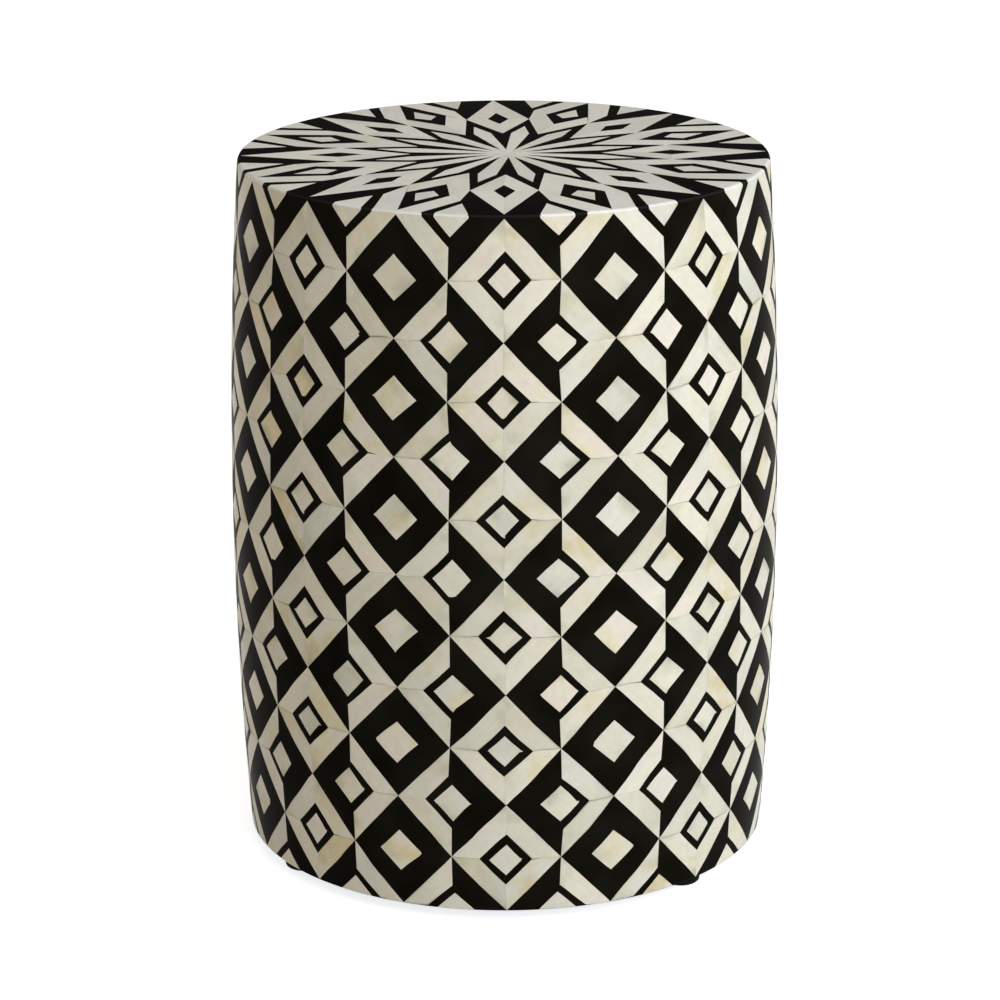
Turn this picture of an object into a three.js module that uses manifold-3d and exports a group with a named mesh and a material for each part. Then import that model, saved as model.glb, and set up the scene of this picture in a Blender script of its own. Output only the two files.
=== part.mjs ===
// A barrel-shaped drum stool with a bone and resin inlay, in millimetres, +Z up.
// The origin is the middle of the footprint, on the floor, and the front looks along -Y.
//
// Sixteen bowed staves, three plywood ribs and two round boards make a hollow wooden carcass. A thin
// skin of black resin covers its side and its top. Slips of bone are let into the resin, flush with it,
// and the sixteen petals of the star on the top are here. Four rubber feet are screwed on underneath.
import * as THREE from 'three';
import { mergeVertices } from 'three/addons/utils/BufferGeometryUtils.js';
import Module from 'manifold-3d';

const wasm = await Module();
wasm.setup();

// Body: its side is one shallow arc, fullest a little below the middle.
const bodyHeight = 449;
const fullestRadius = 178.3;
const fullestHeight = 213.6;
const sideArcRadius = 3170;
const jointGap = 0.3;

// Inlaid skin
const inlayThickness = 3;
const rimRound = 2.4;
const bottomArris = 1;

// Bone petals of the star: shares of the top's radius, and of the angle from one petal to the next.
// The petals touch as far out as the core.
const boneThickness = 2.2;
const petalCount = 16;
const petalCoreShare = 0.06;
const petalShoulderShare = 0.365;
const petalTipShare = 0.495;
const petalTurnShare = 0.24;

// Carcass
const topBoardThickness = 18;
const baseBoardThickness = 15;
const staveCount = 16;
const staveThickness = 12;
const ribThickness = 15;
const ribWidth = 40;

// Wood screws that hold the ribs to the boards. Their tips stop short of the far face by the cover.
const screwRadius = 2;
const screwHeadRadius = 4;
const screwHeadHeight = 2.6;
const screwTipHeight = 5;
const screwCover = 5;
const screwCount = 4;

// Feet
const footHeight = 8;
const footRadius = 12.5;
const footEdgeRound = 2.5;
const footInset = 17;
const footAzimuths = [47, 121, 227, 301];
const footWebThickness = 3.2;
const footBoreRadius = 2.4;
const footRecessRadius = 6;
const washerThickness = 0.8;
const washerRadius = 5.2;
const footScrewHeadRadius = 3.8;
const footScrewHeadHeight = 2;
const footScrewCover = 6;

// How far a cutting shape runs past what it cuts
const overrun = 1;

// Facets
const bodySegments = 64;
const bodySteps = 8;
const roundSegments = 24;
const screwSegments = 12;
const quarterSteps = 3;

const blackResin = { color: 0x0d0b0a, roughness: 0.25, metalness: 0 };
const bone = { color: 0xe2dcc6, roughness: 0.35, metalness: 0 };
const wood = { color: 0xa8855a, roughness: 0.75, metalness: 0 };
const plywood = { color: 0xc2a679, roughness: 0.8, metalness: 0 };
const blackPaint = { color: 0x1b1918, roughness: 0.6, metalness: 0 };
const rubber = { color: 0x101010, roughness: 0.85, metalness: 0 };
const steel = { color: 0x9a9ca0, roughness: 0.35, metalness: 1 };

const root = new THREE.Group();
const fullTurn = 2 * Math.PI;
const degree = Math.PI / 180;

// Levels above the floor
const bodyBottom = footHeight;
const topSurface = bodyBottom + bodyHeight;
const topInlayUnderside = topSurface - inlayThickness;
const topBoardTop = topInlayUnderside - jointGap;
const topBoardUnderside = topBoardTop - topBoardThickness;
const baseBoardTop = bodyBottom + baseBoardThickness;
const staveBottom = baseBoardTop + jointGap;
const staveTop = topBoardUnderside - jointGap;
const upperRibUnderside = staveTop - ribThickness;
const middleRibUnderside = (staveBottom + staveTop - ribThickness) / 2;

// How far inside the outer surface the layers of the wall lie
const carcassInset = inlayThickness + jointGap;
const hollowInset = carcassInset + staveThickness;

// The outer radius of the body at a height above the floor
function radiusAt(height) {
	const rise = height - bodyBottom - fullestHeight;
	return fullestRadius - sideArcRadius + Math.sqrt(sideArcRadius ** 2 - rise ** 2);
}

const rimRadius = radiusAt(topSurface - rimRound);
const footCircleRadius = radiusAt(bodyBottom) - footInset;

function add(name, geometry, finish) {
	const mesh = new THREE.Mesh(geometry, new THREE.MeshStandardMaterial(finish));
	mesh.name = name;
	root.add(mesh);
	return mesh;
}

function solidOf(geometry) {
	const bare = new THREE.BufferGeometry();
	bare.setAttribute('position', geometry.getAttribute('position'));
	bare.setIndex(geometry.getIndex());
	const merged = mergeVertices(bare);
	return new wasm.Manifold(new wasm.Mesh({
		numProp: 3,
		vertProperties: merged.getAttribute('position').array,
		triVerts: new Uint32Array(merged.getIndex().array),
	}));
}

function cut(geometry, tools) {
	const solid = tools.reduce((left, tool) => left.subtract(solidOf(tool)), solidOf(geometry));
	const { vertProperties, triVerts } = solid.getMesh();
	const result = new THREE.BufferGeometry();
	result.setAttribute('position', new THREE.BufferAttribute(vertProperties, 3));
	result.setIndex(new THREE.BufferAttribute(triVerts, 1));
	return result;
}

// Turns a profile of [radius, height] points about the Z axis. It runs upwards on the outside.
function turned(profile, segments) {
	const points = profile.map(([radius, height]) => new THREE.Vector2(radius, height));
	return new THREE.LatheGeometry(points, segments).rotateX(Math.PI / 2);
}

function turnedRing(profile, segments) {
	return turned([...profile, profile[0]], segments);
}

// Points of an arc about [radius, height], from one angle above the horizontal to another
function arc(centre, size, from, to, steps) {
	return Array.from({ length: steps + 1 }, (_, i) => {
		const angle = from + (to - from) * i / steps;
		return [centre[0] + size * Math.cos(angle), centre[1] + size * Math.sin(angle)];
	});
}

// Points up the bowed wall, at an inset from its outer surface
function wallLine(inset, low, high, steps) {
	return Array.from({ length: steps + 1 }, (_, i) => {
		const height = low + (high - low) * i / steps;
		return [radiusAt(height) - inset, height];
	});
}

function around(count, start = 0) {
	return Array.from({ length: count }, (_, i) => start + i * fullTurn / count);
}

// Moves a shape made on the Z axis out to a circle, at an azimuth from the front towards +X.
function placedOut(geometry, radius, azimuth) {
	return geometry.translate(0, -radius, 0).rotateZ(azimuth);
}

// Inlaid skin. The side and the top meet in a mitre through the middle of the rounded rim.
const rimCentre = [rimRadius - rimRound, topSurface - rimRound];
const mitreAngle = Math.PI / 4;
const mitreDrop = jointGap / Math.cos(mitreAngle);
const mitreInner = [rimRadius - inlayThickness, topInlayUnderside];

function sideInlay() {
	const outer = wallLine(0, bodyBottom + bottomArris, topSurface - rimRound, bodySteps);
	const rim = arc(rimCentre, rimRound, 0, mitreAngle, quarterSteps).slice(1);
	const rimEnd = rim.pop();
	const inner = wallLine(inlayThickness, bodyBottom, mitreInner[1] - mitreDrop, bodySteps).reverse();
	return turnedRing([
		[radiusAt(bodyBottom) - bottomArris, bodyBottom],
		...outer,
		...rim,
		[rimEnd[0], rimEnd[1] - mitreDrop],
		...inner,
	], bodySegments);
}

// Petal outline, seen from above and pointing to the front
const petalTurn = fullTurn / petalCount;

function petalOutline() {
	const point = (share, turn) => {
		const radius = share * rimRadius;
		return [radius * Math.sin(turn), -radius * Math.cos(turn)];
	};
	return [
		[0, 0],
		point(petalCoreShare, -petalTurn / 2),
		point(petalShoulderShare, -petalTurn * petalTurnShare),
		point(petalTipShare, 0),
		point(petalShoulderShare, petalTurn * petalTurnShare),
		point(petalCoreShare, petalTurn / 2),
	];
}

// Moves every edge of an anticlockwise outline out by a margin.
function grown(outline, margin) {
	const count = outline.length;
	return outline.map(([x, y], i) => {
		const before = outline[(i + count - 1) % count];
		const after = outline[(i + 1) % count];
		const arriving = new THREE.Vector2(x - before[0], y - before[1]).normalize();
		const leaving = new THREE.Vector2(after[0] - x, after[1] - y).normalize();
		const reach = margin / (1 + arriving.dot(leaving));
		return [x + (arriving.y + leaving.y) * reach, y - (arriving.x + leaving.x) * reach];
	});
}

function slab(outline, low, high) {
	const shape = new THREE.Shape(outline.map(([x, y]) => new THREE.Vector2(x, y)));
	const geometry = new THREE.ExtrudeGeometry(shape, { depth: high - low, bevelEnabled: false });
	return geometry.translate(0, 0, low);
}

function topInlay() {
	const disc = turned([
		[0, topInlayUnderside],
		mitreInner,
		...arc(rimCentre, rimRound, mitreAngle, Math.PI / 2, quarterSteps),
		[0, topSurface],
	], bodySegments);
	const pocketFloor = topSurface - boneThickness - jointGap;
	const pockets = around(petalCount, petalTurn / 2).map((azimuth) => {
		const pocket = slab(grown(petalOutline(), jointGap / 2), pocketFloor, topSurface + overrun);
		return pocket.rotateZ(azimuth);
	});
	return cut(disc, pockets);
}

function addInlay() {
	add('side_inlay', sideInlay(), blackResin);
	add('top_inlay', topInlay(), blackResin);
	around(petalCount, petalTurn / 2).forEach((azimuth, i) => {
		const petal = slab(grown(petalOutline(), -jointGap / 2), topSurface - boneThickness, topSurface);
		add(`bone_petal_${i + 1}`, petal, bone).rotation.z = azimuth;
	});
}

// Screws stand point up on the Z axis. A margin widens one into its hole.
function woodScrew(low, tip, margin) {
	const widest = screwHeadRadius + margin;
	const shank = screwRadius + margin;
	return turned([
		[0, low - margin],
		[widest, low - margin],
		[shank, low + screwHeadHeight + margin],
		[shank, tip - screwTipHeight + margin],
		[0, tip + margin],
	], screwSegments);
}

// Each end of the carcass: a rib is screwed to its board from the side that stays reachable.
const upperScrewTip = topBoardTop - screwCover;
const lowerScrewTip = staveBottom + ribThickness - screwCover;
const ribFacetTurn = Math.PI / staveCount;

function ribScrewRadius(ribUnderside) {
	const corner = radiusAt(ribUnderside + ribThickness / 2) - hollowInset - jointGap;
	return (corner - ribWidth / 2) * Math.cos(ribFacetTurn);
}

function endScrews(low, tip, ribUnderside, margin) {
	return around(screwCount, ribFacetTurn).map((azimuth) => {
		return placedOut(woodScrew(low, tip, margin), ribScrewRadius(ribUnderside), azimuth);
	});
}

function upperScrews(margin) {
	return endScrews(upperRibUnderside, upperScrewTip, upperRibUnderside, margin);
}

function lowerScrews(margin) {
	return endScrews(bodyBottom, lowerScrewTip, staveBottom, margin);
}

function board(low, high) {
	return turned([[0, low], ...wallLine(carcassInset, low, high, 1), [0, high]], bodySegments);
}

// A rib has a flat for each stave.
function rib(low) {
	const high = low + ribThickness;
	const outer = wallLine(hollowInset + jointGap, low, high, 1);
	const inner = wallLine(hollowInset + jointGap + ribWidth, low, high, 1).reverse();
	return turnedRing([...outer, ...inner], staveCount);
}

// A stave is round outside, flat inside and bevelled at both edges. Its section runs anticlockwise.
const facetsPerStave = bodySegments / staveCount;

function staveSection(height) {
	const halfTurn = Math.PI / staveCount;
	const outerRadius = radiusAt(height) - carcassInset;
	const innerRadius = radiusAt(height) - hollowInset;
	const point = (radius, azimuth) => new THREE.Vector3(
		radius * Math.sin(azimuth),
		-radius * Math.cos(azimuth),
		height,
	);
	const outer = Array.from({ length: facetsPerStave + 1 }, (_, i) => {
		return point(outerRadius, halfTurn * (2 * i / facetsPerStave - 1));
	});
	const section = [...outer, point(innerRadius, halfTurn), point(innerRadius, -halfTurn)];
	const edgeShift = new THREE.Vector3(-Math.cos(halfTurn), -Math.sin(halfTurn), 0);
	edgeShift.multiplyScalar(jointGap / 2);
	const mirroredShift = edgeShift.clone().setX(-edgeShift.x);
	section[facetsPerStave].add(edgeShift);
	section[facetsPerStave + 1].add(edgeShift);
	section[0].add(mirroredShift);
	section[facetsPerStave + 2].add(mirroredShift);
	return section;
}

// Joins sections of the same number of points, stacked upwards, and closes both ends.
function lofted(sections) {
	const count = sections[0].length;
	const last = (sections.length - 1) * count;
	const index = [];
	for (let level = 0; level < last; level += count) {
		for (let i = 0; i < count; i++) {
			const next = (i + 1) % count;
			index.push(level + i, level + next, level + count + i);
			index.push(level + next, level + count + next, level + count + i);
		}
	}
	for (let i = 1; i < count - 1; i++) {
		index.push(0, i + 1, i);
		index.push(last, last + i, last + i + 1);
	}
	const geometry = new THREE.BufferGeometry().setFromPoints(sections.flat());
	geometry.setIndex(index);
	return geometry;
}

function stave() {
	const sections = Array.from({ length: bodySteps + 1 }, (_, i) => {
		return staveSection(staveBottom + (staveTop - staveBottom) * i / bodySteps);
	});
	return lofted(sections);
}

function addCarcass() {
	const footHoles = footAzimuths.map((azimuth) => {
		return placedOut(footScrew(jointGap), footCircleRadius, azimuth * degree);
	});
	const baseHoles = [...lowerScrews(jointGap), ...footHoles];
	add('base_board', cut(board(bodyBottom, baseBoardTop), baseHoles), blackPaint);
	add('lower_rib', cut(rib(staveBottom), lowerScrews(jointGap)), plywood);
	add('middle_rib', rib(middleRibUnderside), plywood);
	add('upper_rib', cut(rib(upperRibUnderside), upperScrews(jointGap)), plywood);
	add('top_board', cut(board(topBoardUnderside, topBoardTop), upperScrews(jointGap)), wood);
	around(staveCount, ribFacetTurn).forEach((azimuth, i) => {
		add(`stave_${i + 1}`, stave(), wood).rotation.z = azimuth;
	});
	lowerScrews(0).forEach((screw, i) => add(`base_screw_${i + 1}`, screw, steel));
	upperScrews(0).forEach((screw, i) => add(`top_screw_${i + 1}`, screw, steel));
}

// Feet. The screw's head and its washer sit in a recess under the web, clear of the floor.
const footTop = bodyBottom - jointGap;
const footWebUnderside = footTop - footWebThickness;
const washerTop = footWebUnderside - jointGap;
const washerUnderside = washerTop - washerThickness;
const footScrewSeat = washerUnderside - jointGap;
const footScrewTip = baseBoardTop - footScrewCover;

function foot() {
	const edgeCentre = [footRadius - footEdgeRound, footEdgeRound];
	return turnedRing([
		[footRecessRadius, 0],
		...arc(edgeCentre, footEdgeRound, -Math.PI / 2, 0, quarterSteps),
		[footRadius, footTop],
		[footBoreRadius, footTop],
		[footBoreRadius, footWebUnderside],
		[footRecessRadius, footWebUnderside],
	], roundSegments);
}

function washer() {
	return turnedRing([
		[footBoreRadius, washerUnderside],
		[washerRadius, washerUnderside],
		[washerRadius, washerTop],
		[footBoreRadius, washerTop],
	], roundSegments);
}

function footScrew(margin) {
	const head = footScrewHeadRadius + margin;
	const shank = screwRadius + margin;
	return turned([
		[0, footScrewSeat - footScrewHeadHeight - margin],
		[head, footScrewSeat - footScrewHeadHeight - margin],
		[head, footScrewSeat + margin],
		[shank, footScrewSeat + margin],
		[shank, footScrewTip - screwTipHeight + margin],
		[0, footScrewTip + margin],
	], screwSegments);
}

function addFeet() {
	footAzimuths.forEach((azimuth, i) => {
		const place = (shape) => placedOut(shape, footCircleRadius, azimuth * degree);
		add(`foot_${i + 1}`, place(foot()), rubber);
		add(`foot_washer_${i + 1}`, place(washer()), steel);
		add(`foot_screw_${i + 1}`, place(footScrew(0)), steel);
	});
}

addInlay();
addCarcass();
addFeet();

export default root;
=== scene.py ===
# %% [markdown]
# # A drum stool inlaid with bone
#
# The real stool is a light wooden barrel. Its whole side and top are covered with slips of bone, glued
# down one by one, and the spaces between them are filled with black resin. Then everything is sanded
# flush and polished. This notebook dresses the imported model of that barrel: it lays the slips, pours the
# resin, finishes every surface, and sets up a small photo studio round the stool.
#
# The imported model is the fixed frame. Nothing in it is moved, and every size below comes from it or is
# a named value in metres. Two helpers serve all through: `placed` puts an object in the scene, and
# `even_steps` divides a length.

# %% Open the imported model
import math
import random

import bmesh
import bpy
from mathutils import Matrix, Vector


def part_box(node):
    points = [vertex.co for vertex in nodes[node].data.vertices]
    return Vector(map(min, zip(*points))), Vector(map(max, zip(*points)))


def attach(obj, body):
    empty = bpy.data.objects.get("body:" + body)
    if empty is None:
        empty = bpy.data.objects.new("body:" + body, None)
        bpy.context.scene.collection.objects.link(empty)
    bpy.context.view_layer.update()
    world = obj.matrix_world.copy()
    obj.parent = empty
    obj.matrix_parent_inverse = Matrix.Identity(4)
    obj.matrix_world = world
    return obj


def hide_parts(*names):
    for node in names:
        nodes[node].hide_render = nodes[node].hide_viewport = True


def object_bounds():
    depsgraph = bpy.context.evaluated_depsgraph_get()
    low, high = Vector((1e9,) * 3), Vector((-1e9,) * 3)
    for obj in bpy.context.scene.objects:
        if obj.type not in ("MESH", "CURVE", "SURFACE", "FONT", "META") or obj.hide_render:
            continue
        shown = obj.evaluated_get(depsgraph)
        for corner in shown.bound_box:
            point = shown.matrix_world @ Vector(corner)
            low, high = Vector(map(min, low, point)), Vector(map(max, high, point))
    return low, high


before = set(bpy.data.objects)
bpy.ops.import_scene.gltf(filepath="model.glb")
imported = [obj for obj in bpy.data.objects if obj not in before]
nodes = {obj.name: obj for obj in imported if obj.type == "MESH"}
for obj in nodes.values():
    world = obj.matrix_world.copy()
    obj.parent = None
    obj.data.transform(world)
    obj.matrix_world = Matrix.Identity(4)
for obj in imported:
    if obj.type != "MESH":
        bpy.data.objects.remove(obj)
cad_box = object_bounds()
BODY = "root"
MM = 0.001


def placed(name, data):
    made = bpy.data.objects.new(name, data)
    bpy.context.scene.collection.objects.link(made)
    return made


def even_steps(first, last, count):
    return [first + (last - first) * i / count for i in range(count + 1)]


print("The frame holds", len(nodes), "nodes and is", [round(x, 4) for x in cad_box[1] - cad_box[0]])

# %% [markdown]
# ## The outline of the barrel
#
# A lathe turner would draw half of the stool's section on a board and cut to it. This is the same
# drawing. It starts in the middle of the top, runs out flat, turns over the rounded rim and follows the
# long shallow bow of the side down to the floor end. Everything inlaid is measured along this line, so
# it's written as a function that takes a length and gives a point and the way the surface faces there.
# Three pieces, one straight and two arcs that meet smoothly, are enough.

# %% Sizes of the barrel, from the frame
side_low, side_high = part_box("side_inlay")
top_low, top_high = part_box("top_inlay")
fullest_radius = side_high.x
body_bottom = side_low.z
top_surface = top_high.z
skin_thickness = top_high.z - top_low.z
fullest_height = body_bottom + 213.6 * MM
bow_radius = 3170 * MM
rim_round = 2.4 * MM
bottom_arris = 0.3 * MM

rim_centre_height = top_surface - rim_round
lean = math.asin((rim_centre_height - fullest_height) / (bow_radius - rim_round))
flat_radius = fullest_radius - bow_radius + (bow_radius - rim_round) * math.cos(lean)
joint_length = flat_radius + rim_round * math.pi / 4
wall_start = flat_radius + rim_round * (math.pi / 2 - lean)
wall_turn = lean + math.asin((fullest_height - body_bottom - bottom_arris) / bow_radius)
outline_length = wall_start + bow_radius * wall_turn


def outline(length):
    """The point (radius, height) at a length along the outline, and the way the surface faces there."""
    if length <= flat_radius:
        return Vector((length, top_surface)), Vector((0, 1))
    if length <= wall_start:
        turn = math.pi / 2 - (length - flat_radius) / rim_round
        facing = Vector((math.cos(turn), math.sin(turn)))
        return Vector((flat_radius, rim_centre_height)) + facing * rim_round, facing
    turn = lean - (length - wall_start) / bow_radius
    facing = Vector((math.cos(turn), math.sin(turn)))
    return Vector((fullest_radius - bow_radius, fullest_height)) + facing * bow_radius, facing


print("Half outline:", round(outline_length / MM, 1), "mm")
print("The top takes", round(joint_length / MM, 1), "mm of it")

# %% [markdown]
# ## A hand for node trees
#
# The slips and the finishes are both made with node trees. A tree is a list of nodes and links, and
# writing each one out in full hides the idea behind it. Two small classes keep it readable. One call to
# a tree adds a node, sets it up, plugs in its inputs and gives back one output. That output is a value
# that can be added, multiplied and so on, and each sign makes one math node. Sockets that a node's
# settings switch off are passed over, so an input can be named or counted as the node editor shows it.

# %% The helpers that build node trees


def sign(operation, swapped=False):
    """A method that makes one math node for a sign between two values."""

    def method(self, other):
        first, second = (other, self) if swapped else (self, other)
        return self.maker.math(operation, first, second)

    return method


class Value:
    """An output of a node, to be used in a sum or plugged in elsewhere."""

    def __init__(self, maker, socket):
        self.maker = maker
        self.socket = socket

    __add__ = sign("ADD")
    __sub__ = sign("SUBTRACT")
    __rsub__ = sign("SUBTRACT", swapped=True)
    __mul__ = sign("MULTIPLY")
    __truediv__ = sign("DIVIDE")
    __mod__ = sign("FLOORED_MODULO")
    __pow__ = sign("POWER")


class Tree:
    def __init__(self, tree):
        self.tree = tree

    def node(self, kind, inputs=None, **settings):
        made = self.tree.nodes.new(kind)
        for name, value in settings.items():
            setattr(made, name, value)
        for key, value in (inputs or {}).items():
            self.plug(self.socket(made.inputs, key), value)
        return made

    def socket(self, sockets, key):
        shown = [s for s in sockets if s.enabled]
        return shown[key] if isinstance(key, int) else next(s for s in shown if s.name == key)

    def plug(self, socket, value):
        value = value.socket if isinstance(value, Value) else value
        if isinstance(value, bpy.types.NodeSocket):
            self.tree.links.new(value, socket)
        else:
            socket.default_value = value

    def add(self, kind, inputs=None, output=0, **settings):
        return Value(self, self.socket(self.node(kind, inputs, **settings).outputs, output))

    def math(self, operation, *values):
        return self.add("ShaderNodeMath", dict(enumerate(values)), operation=operation)

    def split(self, vector):
        return [Value(self, part) for part in self.node("ShaderNodeSeparateXYZ", {0: vector}).outputs]

    def join(self, *parts):
        return self.add("ShaderNodeCombineXYZ", dict(enumerate(parts)))

    def scaled(self, vector, scale):
        return self.add("ShaderNodeVectorMath", {0: vector, "Scale": scale}, operation="SCALE")

    def summed(self, first, second):
        return self.add("ShaderNodeVectorMath", {0: first, 1: second}, operation="ADD")


print("Node helpers ready")

# %% [markdown]
# ## One slip of bone
#
# Each slip is sawn from a flat strip about 2 mm thick and ends up as a small closed tile. Sanding leaves
# its top edges very slightly eased. A flat polygon pushed back into a prism would do, but the eased edge
# catches the light, and a second line just inside it lets the finish darken towards the joint, as
# glue and resin stain the end grain. So a slip is a stack of four loops: the foot, the shoulder,
# the eased edge and the inner line.
#
# A slip also remembers four things. Its grain is a vector in metres: along the strip in X and across
# it in Y. Its reach runs from minus one at one end of the slip to one at the other. Its stain says how
# much each corner drank in glue and black dust, which end grain at a mitre does most. Its slack is a
# vector at one corner, where the saw may have cut the slip a little short. The recipes further on decide
# by chance which slips that happens to.

# %% The function that makes one flat slip
SLIP_THICKNESS = 2.2 * MM
EASED_EDGE = 0.035 * MM
STAIN_WIDTH = 1.6 * MM
SAW_GAP = 0.008 * MM
SAW_SLACK = 0.42 * MM
CLEAN_EDGE, STAINED_EDGE = 0.1, 1.0
NO_SLACK = Vector((0, 0))


def grown(corners, margin):
    """Moves every edge of an anticlockwise outline out by a margin."""
    count = len(corners)
    result = []
    for i, corner in enumerate(corners):
        arriving = (corner - corners[i - 1]).normalized()
        leaving = (corners[(i + 1) % count] - corner).normalized()
        reach = margin / (1 + arriving.dot(leaving))
        both = arriving + leaving
        result.append(corner + Vector((both.y, -both.x)) * reach)
    return result


def middle_of(corners):
    return sum(corners, Vector((0, 0))) / len(corners)


def edges_of(corners):
    return zip(corners, corners[1:] + corners[:1])


def widest_inset(corners):
    """Half the least distance from the middle to an edge, so an inner line never crosses itself."""
    middle = middle_of(corners)
    return min(abs((b - a).normalized().cross(middle - a)) for a, b in edges_of(corners)) / 2


class Sheet:
    """A flat sheet of slips, drawn in metres before it's wrapped on the barrel."""

    def __init__(self, seed):
        self.mesh = bmesh.new()
        self.grain = self.mesh.verts.layers.float_vector.new("grain")
        self.stain = self.mesh.verts.layers.float.new("stain")
        self.reach = self.mesh.verts.layers.float.new("reach")
        self.slack = self.mesh.verts.layers.float_vector.new("slack")
        self.chance = random.Random(seed)
        self.strays = {}
        self.count = 0

    def strayed(self, corner):
        """Moves a corner by chance, but by the same amount for every slip that has a corner there."""
        place = (round(corner.x / MM), round(corner.y / MM))
        stray = Vector((self.chance.gauss(0, SAW_SLACK), self.chance.gauss(0, SAW_SLACK)))
        return corner + self.strays.setdefault(place, stray)

    def slip(self, corners, along, true=(), stained=(), short=None):
        """Adds a slip. Corners listed as true stay put. Short is a corner's number and its slack."""
        moved = [c if i in true else self.strayed(c) for i, c in enumerate(corners)]
        marks = [(STAINED_EDGE if i in stained else CLEAN_EDGE, NO_SLACK) for i in range(len(corners))]
        if short:
            number, slack = short
            marks[number] = (marks[number][0], slack)
        if sum(a.cross(b) for a, b in edges_of(moved)) < 0:
            moved, marks = moved[::-1], marks[::-1]
        edge = grown(moved, -SAW_GAP)
        middle = middle_of(edge)
        along = along.normalized()
        across = Vector((-along.y, along.x))
        half_length = max(abs((corner - middle).dot(along)) for corner in edge)

        def loop(line, height, marks):
            verts = []
            for corner, (stain, slack) in zip(line, marks):
                vert = self.mesh.verts.new((*corner, height))
                from_middle = corner - middle
                vert[self.grain] = (from_middle.dot(along), from_middle.dot(across), height)
                vert[self.reach] = from_middle.dot(along) / half_length
                vert[self.stain] = stain
                vert[self.slack] = (*slack, 0)
                verts.append(vert)
            return verts

        inner = min(STAIN_WIDTH, widest_inset(edge))
        loops = [
            loop(edge, -SLIP_THICKNESS, marks),
            loop(edge, -EASED_EDGE, marks),
            loop(grown(edge, -EASED_EDGE), 0, marks),
            loop(grown(edge, -inner), 0, [(0, NO_SLACK)] * len(marks)),
        ]
        self.mesh.faces.new(loops[0][::-1])
        self.mesh.faces.new(loops[-1])
        for lower, upper in zip(loops, loops[1:]):
            for i in range(len(edge)):
                self.mesh.faces.new((lower[i - 1], lower[i], upper[i], upper[i - 1]))
        self.count += 1

    def score(self, point, facing):
        """Cuts every face along a straight line, so that the sheet can bend there."""
        everything = self.mesh.verts[:] + self.mesh.edges[:] + self.mesh.faces[:]
        bmesh.ops.bisect_plane(self.mesh, geom=everything, plane_co=point, plane_no=facing)

    def finished(self, name):
        mesh = bpy.data.meshes.new(name)
        self.mesh.to_mesh(mesh)
        self.mesh.free()
        return placed(name, mesh)


print("A slip is", SLIP_THICKNESS / MM, "mm thick, with edges eased by", EASED_EDGE / MM, "mm")

# %% [markdown]
# ## The pattern of the side
#
# The side is laid out on a net of 32 columns and 12 rows, like squared paper. Diamonds two columns
# wide and two rows high fill it edge to edge, and there are three kinds:
#
# - a *framed* diamond: four mitred bars of bone round a black ring with a small bone eye
# - a *dark* diamond: all resin, with a larger bone eye
# - a *shaded* diamond: two bars of bone on one half only, the other half resin, with an eye between
#
# The bars of the shaded diamonds face the dark ones, which makes the pattern look like tumbling boxes.
# It repeats every four columns, so only one strip of it is drawn here, flat, with X across the strip and
# Y up from the rim. The sizes inside a diamond are shares of its half width and half height.

# %% Draw one strip of the side
COLUMNS = 32
ROWS = 12
STRIP_COLUMNS = 4
column_width = 2 * math.pi * fullest_radius / COLUMNS
row_height = (outline_length - wall_start) / ROWS

FRAME_INNER_SHARES = (0.49, 0.47)
FRAMED_EYE_SHARES = (0.292, 0.276)
DARK_EYE_SHARES = (0.419, 0.382)
BAR_INNER_SHARES = (0.507, 0.47)
SHADED_EYE_SHARES = (0.355, 0.327)
SHADED_EYE_SHIFT_SHARE = 0.04
RIM_EYE_SHARES = (0.318, 0.3)
NOTCH_SHARE = 0.38
NOTCH_WIDTH = 0.7 * MM
CHIP_SHARE = 0.1
SCORES_PER_COLUMN = 8
RIM_SCORES = 4
rim_band = wall_start - joint_length


def net(column, row):
    return Vector((column * column_width, -row * row_height))


def over_rim(corners):
    """Lengthens a slip that ends on the first line of the net by a band that covers the rounded rim."""
    band = Vector((0, rim_band))
    ends = [i for i, corner in enumerate(corners) if corner.y == 0]
    first = corners[ends[0]]
    last = corners[ends[1]]
    return corners[: ends[0] + 1] + [first + band, last + band] + corners[ends[1] :]


def bar(sheet, column, row, right, down, inner_shares):
    """One quarter of a diamond's frame. Right and down are 1 or -1 and say which quarter."""
    corners = [
        net(column, row + down),
        net(column + right, row),
        net(column + right * inner_shares[0], row),
        net(column, row + down * inner_shares[1]),
    ]
    along = corners[1] - corners[0]
    if row == 0:
        sheet.slip(over_rim(corners), along, true=(0, 1, 2, 3, 4))
        return
    notch_end = corners[2].lerp(corners[1], NOTCH_SHARE)
    slack = (corners[3] - corners[2]).normalized() * NOTCH_WIDTH
    corners = corners[:2] + [notch_end] + corners[2:]
    sheet.slip(corners, along, true=(0, 1, 2), stained=(1, 2, 3), short=(3, slack))


def chipped(corners, number):
    """Adds a point on each side of a corner, so that the corner can break off between them."""
    tip = corners[number]
    before = tip.lerp(corners[number - 1], CHIP_SHARE)
    after = tip.lerp(corners[(number + 1) % len(corners)], CHIP_SHARE)
    slack = (before + after) / 2 - tip
    return corners[:number] + [before, tip, after] + corners[number + 1 :], (number + 1, slack)


def eye(sheet, column, row, shares):
    """The bone diamond in the middle of a diamond. The rim and the bottom edge cut it in half."""
    across, down = shares
    corners = [
        net(column, row - down),
        net(column + across, row),
        net(column, row + down),
        net(column - across, row),
    ]
    along = net(1, sheet.chance.choice((1, -1)))
    if row == 0:
        sheet.slip(over_rim([corners[1], corners[3], corners[2]]), along, true=(0, 1, 2, 3))
    elif row == ROWS:
        sheet.slip([corners[3], corners[0], corners[1]], along, true=(0, 2))
    else:
        corners, short = chipped(corners, sheet.chance.randrange(4))
        sheet.slip(corners, along, short=short)


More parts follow.
